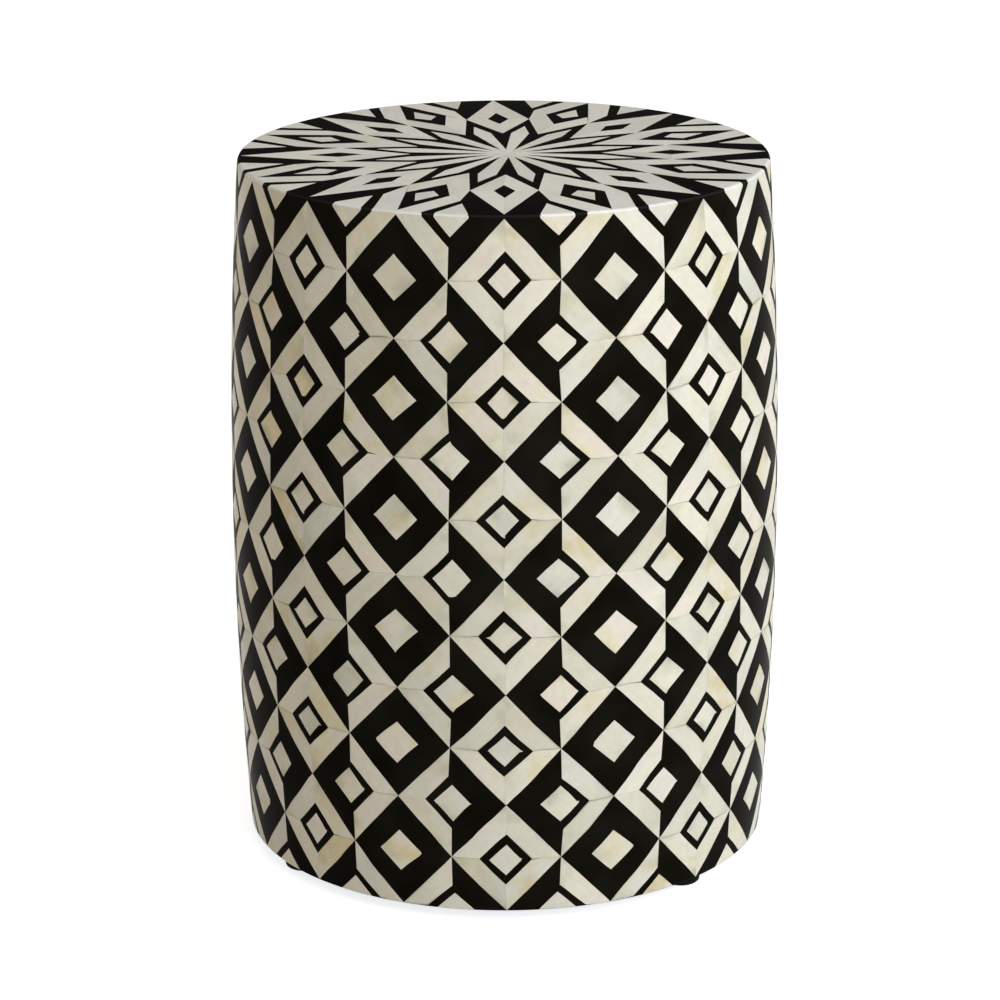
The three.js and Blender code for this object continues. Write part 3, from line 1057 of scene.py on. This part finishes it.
def bone_finish(name, painted_top_light, gloss):
    bone = Finish(name, Specular_IOR_Level=BONE_SHEEN)
    grain = bone.own("grain", "Vector")
    tone, warmth, stained = bone.own("tone"), bone.own("warmth"), bone.own("stain")
    broad = bone.noise(grain, BROAD_SCALE, 1.0)
    patch = bone.noise(grain, PATCH_SCALE)
    fine = bone.noise(grain, FINE_SCALE, 3.0, 0.65)
    streak = bone.noise(grain, STREAK_SCALES, 3.0)
    pores = bone.noise(grain, PORE_SCALES)
    figured = bone.math("FRACT", tone * SECOND_DRAW_FACTOR) ** PLAIN_SLIPS_POWER
    straw = bone.ramp(patch, STRAW_PATCHES) * bone.ramp(figured, ALL_DRAWS, FIGURE_AMOUNTS)
    straw = straw + bone.ramp(warmth, STRAW_SLIPS, STRAW_AMOUNTS)
    rose = bone.ramp(patch, ROSE_PATCHES) * bone.ramp(tone, ROSE_SLIPS, ROSE_AMOUNTS)
    cool = bone.ramp(broad, BROAD_PATCHES) * bone.ramp(warmth, COOL_SLIPS, COOL_AMOUNTS)
    end = bone.ramp(bone.math("ABSOLUTE", bone.own("reach")), SLIP_ENDS)
    smudge = end * bone.ramp(patch, SMUDGED_PATCHES, SMUDGE_AMOUNTS)
    glue = stained**GLUE_POWER * bone.ramp(broad, BROAD_PATCHES, GLUE_AMOUNTS)
    colour = bone.blend(straw, IVORY, STRAW)
    for share, layer in ((rose, ROSE), (cool, COOL_GREY), (smudge, SMUDGE_GREY), (glue, GLUE_BROWN)):
        colour = bone.blend(share, colour, layer)
    shade = bone.ramp(tone, ALL_DRAWS, TONE_SHADES) * bone.ramp(streak, USUAL_SPAN, STREAK_SHADES)
    shade = shade * bone.ramp(fine, USUAL_SPAN, FINE_SHADES)
    # Painted light: the top is blended towards a pale colour by its own share, and the rim further, as a
    # painted highlight.
    pale = bone.ramp(rim_highlight_mask(bone), ALL_DRAWS, (painted_top_light, RIM_HIGHLIGHT_SHARE))
    colour = bone.scaled(bone.blend(pale, colour, PAINTED_LIGHT_BONE), shade)
    dust = bone.ramp(patch, DUSTY_PATCHES) * bone.ramp(fine, DUST_GRAINS, DUST_AMOUNTS)
    speck = bone.ramp(pores, DARK_PORES) * bone.ramp(patch, SMUDGED_PATCHES, SPECK_AMOUNTS)
    dirt = bone.math("MAXIMUM", stained**DUST_POWER * dust, speck)
    bone.colour(bone.blend(dirt, colour, DUST_GREY))
    bone.gloss(bone.ramp(patch, USUAL_SPAN, gloss))
    bone.relief(pores * PORE_RELIEF_SHARE + streak, STREAK_DEPTH, STREAK_RELIEF)
    return bone.material


polished_bone = bone_finish("polished_bone", painted_top_light=0.0, gloss=(0.27, 0.42))
# The top's bone is rougher, and it is painted paler as painted light on the top.
worn_bone = bone_finish("worn_bone", painted_top_light=0.68, gloss=(0.5, 0.65))
print("Each bone has", len(worn_bone.node_tree.nodes), "nodes")

# %% [markdown]
# ## Black resin
#
# The filler between the slips is resin loaded with lamp black, sanded flush with the bone and polished.
# It's almost black, with a soft sheen that breaks up where the polish is uneven. Use has worn the sheen
# off the top, so the top gets a flatter finish than the side. Its black is painted darker, a painted
# shade, and the rim is painted grey, a painted highlight.

# %% Make the resin finish
RESIN_BLACK, RESIN_GREY = (0.0058, 0.0046, 0.0028, 1), (0.0104, 0.009, 0.0064, 1)
# The top's black and grey are painted darker than the side's, a painted shade.
TOP_SHADED_BLACK, TOP_SHADED_GREY = (0.0044, 0.0038, 0.003, 1), (0.0076, 0.007, 0.006, 1)
SIDE_SHEEN, TOP_SHEEN = 0.0035, 0.0002
# The grey of the painted highlight on the rim of the resin.
RIM_HIGHLIGHT_GREY = (0.021, 0.0215, 0.022, 1)
RESIN_CLOUDS, RESIN_GRIT = 30.0, 900.0
GREY_CLOUDS, UNEVEN_GLOSS, RESIN_GLOSS = (0.35, 0.7), (0.4, 0.9), (0.24, 0.42)
GRIT_GLOSS_SHARE, CLOUD_RELIEF_SHARE = 0.25, 6.0
SANDING_DEPTH = 0.01 * MM


def resin_finish(name, black, grey, sheen):
    resin = Finish(name, Specular_IOR_Level=sheen)
    place = resin.place()
    cloud = resin.noise(place, RESIN_CLOUDS, 3.0)
    grit = resin.noise(place, RESIN_GRIT)
    colour = resin.blend(resin.ramp(cloud, GREY_CLOUDS), black, grey)
    # Painted highlight: the rim is blended to grey.
    resin.colour(resin.blend(rim_highlight_mask(resin), colour, RIM_HIGHLIGHT_GREY))
    resin.gloss(resin.ramp(grit * GRIT_GLOSS_SHARE + cloud, UNEVEN_GLOSS, RESIN_GLOSS))
    resin.relief(cloud * CLOUD_RELIEF_SHARE + grit, SANDING_DEPTH)
    return resin.material


polished_resin = resin_finish("polished_resin", RESIN_BLACK, RESIN_GREY, SIDE_SHEEN)
# The top's resin has less sheen, and its darker black is painted shade.
worn_resin = resin_finish("worn_resin", TOP_SHADED_BLACK, TOP_SHADED_GREY, TOP_SHEEN)
print("Each resin has", len(worn_resin.node_tree.nodes), "nodes")

# %% [markdown]
# ## Wood, plywood, paint, rubber and steel
#
# Inside, the barrel is plain joinery: hardwood staves and boards, and ribs cut from plywood. Only its
# underside shows, and that's brushed over with black paint. The feet are moulded rubber, and the screws are
# plain zinced steel. Wood grain is noise drawn out along the board.

# %% Make the other finishes
PALE_WOOD, DARK_WOOD = (0.56, 0.38, 0.21, 1), (0.36, 0.21, 0.1, 1)
PALE_PLY, DARK_PLY = (0.62, 0.47, 0.3, 1), (0.3, 0.18, 0.09, 1)
PAINT_BLACK, PAINT_WORN = (0.009, 0.009, 0.01, 1), (0.03, 0.027, 0.024, 1)
RUBBER_BLACK, RUBBER_DUSTY = (0.005, 0.005, 0.0055, 1), (0.012, 0.0115, 0.011, 1)
STEEL_BRIGHT, STEEL_DULL = (0.62, 0.6, 0.56, 1), (0.42, 0.4, 0.37, 1)
STAVE_GRAIN, PLY_GRAIN = (160.0, 160.0, 7.0), (14.0, 90.0, 700.0)
PORES_PER_BAND, PORE_FIGURE_SHARE = 4.0, 0.3
WOOD_GLOSS, PAINT_GLOSS, RUBBER_GLOSS, STEEL_GLOSS = (0.55, 0.75), (0.42, 0.6), (0.6, 0.75), (0.28, 0.45)
WOOD_DEPTH, BRUSH_DEPTH, MOULD_DEPTH, STEEL_DEPTH = 0.1 * MM, 0.08 * MM, 0.03 * MM, 0.02 * MM
COAT_CLOUDS, COAT_GRIT = 40.0, 700.0
DARK_BANDS, WORN_PATCHES = (0.45, 0.85), (0.2, 0.4)
WOOD_SHEEN = 0.3


def wood_finish(name, pale, dark, grain):
    wood = Finish(name, Specular_IOR_Level=WOOD_SHEEN)
    bands = wood.noise(wood.place(), grain, 4.0, 0.6)
    pores = wood.noise(wood.place(), tuple(scale * PORES_PER_BAND for scale in grain))
    figure = pores * PORE_FIGURE_SHARE + bands
    wood.colour(wood.blend(wood.ramp(figure, DARK_BANDS), pale, dark))
    wood.gloss(wood.ramp(pores, USUAL_SPAN, WOOD_GLOSS))
    wood.relief(bands + pores, WOOD_DEPTH)
    return wood.material


def coated_finish(name, plain, worn, gloss, depth, **constants):
    """Paint, rubber or metal: two tones in soft clouds, a fine grit, and a gloss that follows them."""
    coat = Finish(name, **constants)
    cloud = coat.noise(coat.place(), COAT_CLOUDS, 4.0, 0.6)
    grit = coat.noise(coat.place(), COAT_GRIT, 3.0)
    coat.colour(coat.blend(coat.ramp(cloud * grit, WORN_PATCHES), plain, worn))
    coat.gloss(coat.ramp(cloud, USUAL_SPAN, gloss))
    coat.relief(grit, depth)
    return coat.material


carcass_wood = wood_finish("carcass_wood", PALE_WOOD, DARK_WOOD, STAVE_GRAIN)
plywood = wood_finish("plywood", PALE_PLY, DARK_PLY, PLY_GRAIN)
paint = (PAINT_BLACK, PAINT_WORN, PAINT_GLOSS, BRUSH_DEPTH)
black_paint = coated_finish("black_paint", *paint, Specular_IOR_Level=0.2)
moulded = (RUBBER_BLACK, RUBBER_DUSTY, RUBBER_GLOSS, MOULD_DEPTH)
rubber = coated_finish("rubber", *moulded, Specular_IOR_Level=0.05)
steel = coated_finish("steel", STEEL_BRIGHT, STEEL_DULL, STEEL_GLOSS, STEEL_DEPTH, Metallic=1.0)
print("Five more finishes made")

# %% [markdown]
# ## Lay the bone
#
# The sheets are ready and so are the recipes, so this is only a matter of giving the sizes. The bone of
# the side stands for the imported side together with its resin, and the bone of the top for the sixteen
# packed petals.

# %% Make the bone of the side and the top
SIDE_UNEVENNESS = 3.4 * MM
TOP_UNEVENNESS = 3.0 * MM
DRIFT_SCALE = 14.0
LAYOUT_SEED = 4.0
SAW_WAVER = 1.3 * MM
STEPPING_ERROR = math.radians(2.4)
STAR_OFF_CENTRE = (2.8 * MM, 0, 0)
shared = {"Outline": outline_curve, "Waver": SAW_WAVER, "Stepping_error": STEPPING_ERROR}

side_bone = lay_side.make(
    "side_bone",
    side_slips,
    Finish=polished_bone,
    Columns=float(COLUMNS),
    Strips=COLUMNS // STRIP_COLUMNS,
    Column_width=column_width,
    Row_height=row_height,
    Rows=float(ROWS),
    Wall_start=wall_start,
    Girth_radius=fullest_radius,
    Unevenness=SIDE_UNEVENNESS,
    Seed=LAYOUT_SEED,
    **shared,
)
top_bone = lay_top.make(
    "top_bone",
    top_slips,
    Finish=worn_bone,
    Sectors=SECTORS,
    Rim_joint=joint_length,
    Unevenness=TOP_UNEVENNESS,
    Drift_scale=DRIFT_SCALE,
    Off_centre=STAR_OFF_CENTRE,
    **shared,
)

# %% [markdown]
# ## Pour the resin
#
# In the workshop the resin is poured over the slips and sanded back until they show, so it ends up a hair
# lower than the bone, which is harder. Here it's a skin of its own under the tops of the slips. It meets
# the resin of the top in a mitre in the middle of the rim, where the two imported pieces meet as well.

# %% Make the resin skins
RESIN_DEPTH = 0.08 * MM
TURN_STEPS = 256
SKIN_RIM_POINTS = 6
SKIN_WALL_POINTS = 48
DISC_RINGS = 4
mitre_corner = Vector((outline(wall_start)[0].x - skin_thickness, top_surface - skin_thickness))


def under(lengths, depth):
    """Points at a depth under the outline."""
    found = [outline(length) for length in lengths]
    return [place - facing * depth for place, facing in found]


rim_lengths = even_steps(joint_length, wall_start, SKIN_RIM_POINTS)
wall_lengths = even_steps(wall_start, outline_length, SKIN_WALL_POINTS)[1:]
outer = under(rim_lengths + wall_lengths, RESIN_DEPTH)
inner = under(wall_lengths, skin_thickness)
side_foot = [Vector((inner[-1].x, body_bottom)), Vector((outer[-1].x - bottom_arris, body_bottom))]
side_section = [mitre_corner, *inner[:-1], *side_foot, *outer[::-1]]
side_resin = turned("side_resin", side_section, polished_resin, TURN_STEPS, axis_place)

disc_lengths = even_steps(0, flat_radius, DISC_RINGS)[:-1]
rim_lengths = even_steps(flat_radius, joint_length, SKIN_RIM_POINTS)
outer = under(disc_lengths + rim_lengths, RESIN_DEPTH)
top_section = [*under(disc_lengths, skin_thickness), mitre_corner, *outer[::-1]]
top_resin = turned("top_resin", top_section, worn_resin, TURN_STEPS, axis_place)

# %% [markdown]
# ## Rubber feet
#
# Each foot is a moulded button with a rounded lower edge, and a deep recess that hides the head of its
# screw. It's turned from its section like the skins, four at once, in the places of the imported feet.

# %% Make the feet
FOOT_EDGE_ROUND = 2.5 * MM
FOOT_TOP_ROUND = 0.5 * MM
FOOT_WEB = 3.2 * MM
FOOT_BORE_RADIUS = 2.4 * MM
FOOT_RECESS_RADIUS = 6 * MM
FOOT_RECESS_ROUND = 0.6 * MM
FOOT_STEPS = 64
EDGE_POINTS, ARC_POINTS = 8, 5
foot_names = [f"foot_{number}" for number in (1, 2, 3, 4)]
foot_boxes = [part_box(name) for name in foot_names]
foot_low, foot_high = foot_boxes[0]
foot_radius = (foot_high.x - foot_low.x) / 2
foot_top = foot_high.z
web_bottom = foot_top - FOOT_WEB


def arc(centre_radius, centre_height, size, first, steps=ARC_POINTS):
    """A quarter of a circle in a section, anticlockwise from an angle in degrees."""
    angles = [math.radians(angle) for angle in even_steps(first, first + 90, steps)]
    return [(centre_radius + size * math.cos(a), centre_height + size * math.sin(a)) for a in angles]


foot_section = [
    (FOOT_BORE_RADIUS, foot_top),
    (FOOT_BORE_RADIUS, web_bottom),
    (FOOT_RECESS_RADIUS, web_bottom),
    *arc(FOOT_RECESS_RADIUS + FOOT_RECESS_ROUND, FOOT_RECESS_ROUND, FOOT_RECESS_ROUND, 180),
    *arc(foot_radius - FOOT_EDGE_ROUND, FOOT_EDGE_ROUND, FOOT_EDGE_ROUND, 270, EDGE_POINTS),
    *arc(foot_radius - FOOT_TOP_ROUND, foot_top - FOOT_TOP_ROUND, FOOT_TOP_ROUND, 0),
]
foot_middles = [(low + high) / 2 for low, high in foot_boxes]
foot_places = points_object("foot_places", [(middle.x, middle.y, 0) for middle in foot_middles])
rubber_feet = turned("rubber_feet", foot_section, rubber, FOOT_STEPS, foot_places)

# %% [markdown]
# ## Put the finishes on, and say what stands for what
#
# The imported nodes that stay visible get their finish in their material slot. Each new piece rides on the
# imported body, and the nodes that it stands for are hidden. The table lists each piece, the name of a slot
# in the record, and the nodes that it stands for.

# %% Finish the imported nodes and attach the new pieces
node_finishes = {
    black_paint: ("base_board",),
    carcass_wood: ("top_board", "stave"),
    plywood: ("lower_rib", "middle_rib", "upper_rib"),
    steel: ("base_screw", "top_screw", "foot_screw", "foot_washer"),
}
for name, node in nodes.items():
    for material, families in node_finishes.items():
        if name.startswith(families):
            node.data.materials.clear()
            node.data.materials.append(material)

petals = [name for name in nodes if name.startswith("bone_petal")]
stood_for = set()
for piece, slot, names in (
    (side_resin, "black_resin", ["side_inlay"]),
    (side_bone, "bone", ["side_inlay"]),
    (top_resin, "black_resin", ["top_inlay"]),
    (top_bone, "bone", petals),
    (rubber_feet, "rubber", foot_names),
):
    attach(piece, BODY)
    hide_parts(*names)
    stood_for.update(names)

for helper in (outline_curve, axis_place, foot_places):
    bpy.data.objects.remove(helper)
print("Pieces attached, and", len(nodes) - len(stood_for), "packed nodes stay as they are")

# %% [markdown]
# ## A small studio
#
# The stool stands on a pale floor in an even white room. A white background must not come from strong
# lights, which would wash out the bone. Instead, rays that come straight from the camera, a reflection or
# a clear body see a white world, and the rays that light the stool see a grey one, a little warm as in a
# room with a wooden floor. Two large soft lamps with the colour of daylight stand at the right and at the
# front right, and leave the left side of the barrel in a gentle shade. A weak warm one at the left keeps
# that shade from going too deep.

# %% Make the floor, the world and the lamps
ROOM_LIGHT = (0.326, 0.295, 0.242, 1)
WHITE = (1, 1, 1, 1)
FLOOR_SIZE = 16.0
FLOOR_DROP = 0.2 * MM
FLOOR_WHITE, FLOOR_SPECK = (0.8, 0.8, 0.8, 1), (0.82, 0.82, 0.82, 1)
FLOOR_GRAIN = 200.0
FLOOR_GLOW = 0.8
GLOW_TINT = (0.955, 0.97, 1.0, 1)
DAYLIGHT = (0.83, 0.92, 1.0)
WARM_LIGHT = (1.0, 0.91, 0.78)
LAMP_DISTANCE, LAMP_SIZE = 2.4, 2.0
stool_middle = Vector((0, 0, (cad_box[0].z + cad_box[1].z) / 2))


def seen_directly(tree):
    """One for camera, mirror and see-through rays, and nought for the rays that light a surface."""
    path = tree.node("ShaderNodeLightPath").outputs
    seen = tree.math("MAXIMUM", path["Is Camera Ray"], path["Is Glossy Ray"])
    return tree.math("MAXIMUM", seen, path["Is Transmission Ray"])


def studio_world():
    world = bpy.data.worlds.new("studio")
    world.use_nodes = True
    room = Tree(world.node_tree)
    room.tree.nodes.clear()
    tint = {"Factor": seen_directly(room), "A": ROOM_LIGHT, "B": WHITE}
    light = room.add("ShaderNodeBackground", {"Color": room.add("ShaderNodeMix", tint, data_type="RGBA")})
    room.node("ShaderNodeOutputWorld", {"Surface": light})
    return world


def lamp(name, colour, azimuth, elevation, power):
    """A square soft lamp that faces the stool. Azimuth 0 is in front, and 90 is at the right."""
    data = bpy.data.lights.new(name, "AREA")
    data.shape = "SQUARE"
    data.size = LAMP_SIZE
    data.energy = power
    data.color = colour
    turn, rise = math.radians(azimuth), math.radians(elevation)
    away = Vector((math.sin(turn) * math.cos(rise), -math.cos(turn) * math.cos(rise), math.sin(rise)))
    facing = away.to_track_quat("Z", "Y").to_matrix().to_4x4()
    placed(name, data).matrix_world = Matrix.Translation(stool_middle + away * LAMP_DISTANCE) @ facing


def studio_floor():
    """A pale floor that looks white from the camera, and that still shows the shadow of the stool."""
    floor = Finish("floor", Specular_IOR_Level=0.0, Emission_Color=GLOW_TINT)
    grain = floor.noise(floor.place(), FLOOR_GRAIN)
    floor.colour(floor.blend(grain, FLOOR_WHITE, FLOOR_SPECK))
    floor.plug(floor.shader.inputs["Emission Strength"], seen_directly(floor) * FLOOR_GLOW)
    mesh = bpy.data.meshes.new("floor")
    half = FLOOR_SIZE / 2
    corners = [(x * half, y * half, -FLOOR_DROP) for x, y in ((-1, -1), (1, -1), (1, 1), (-1, 1))]
    mesh.from_pydata(corners, [], [(0, 1, 2, 3)])
    mesh.materials.append(floor.material)
    placed("floor", mesh)


bpy.context.scene.world = studio_world()
studio_floor()
lamp("key", DAYLIGHT, azimuth=58, elevation=26, power=33.5)
lamp("front", DAYLIGHT, azimuth=25, elevation=26, power=21.5)
lamp("fill", WARM_LIGHT, azimuth=-95, elevation=20, power=4)
print("Studio made")

# %% [markdown]
# ## The camera
#
# The photograph was taken with a long lens from a little above, so the barrel's sides run nearly
# parallel. The camera stands in front, looks down by about 18 degrees, and is rolled by a quarter of a
# degree, as the photograph is.

# %% Place the camera
LENS, SENSOR = 129.35, 36
VIEW_DISTANCE = 2.361
VIEW_HEIGHT = 0.2248
VIEW_TILT = math.radians(17.93)
VIEW_ROLL = math.radians(-0.23)
VIEW_SIDE = -3.2 * MM

camera = placed("camera", bpy.data.cameras.new("camera"))
camera.data.lens = LENS
camera.data.sensor_width = SENSOR
back = Vector((0, -math.cos(VIEW_TILT), math.sin(VIEW_TILT))) * VIEW_DISTANCE
turned_down = Matrix.Rotation(math.pi / 2 - VIEW_TILT, 4, "X") @ Matrix.Rotation(VIEW_ROLL, 4, "Z")
camera.matrix_world = Matrix.Translation(Vector((VIEW_SIDE, 0, VIEW_HEIGHT)) + back) @ turned_down
bpy.context.scene.camera = camera
bpy.context.scene.view_settings.view_transform = "Standard"
print("Camera at", [round(x, 3) for x in camera.location])
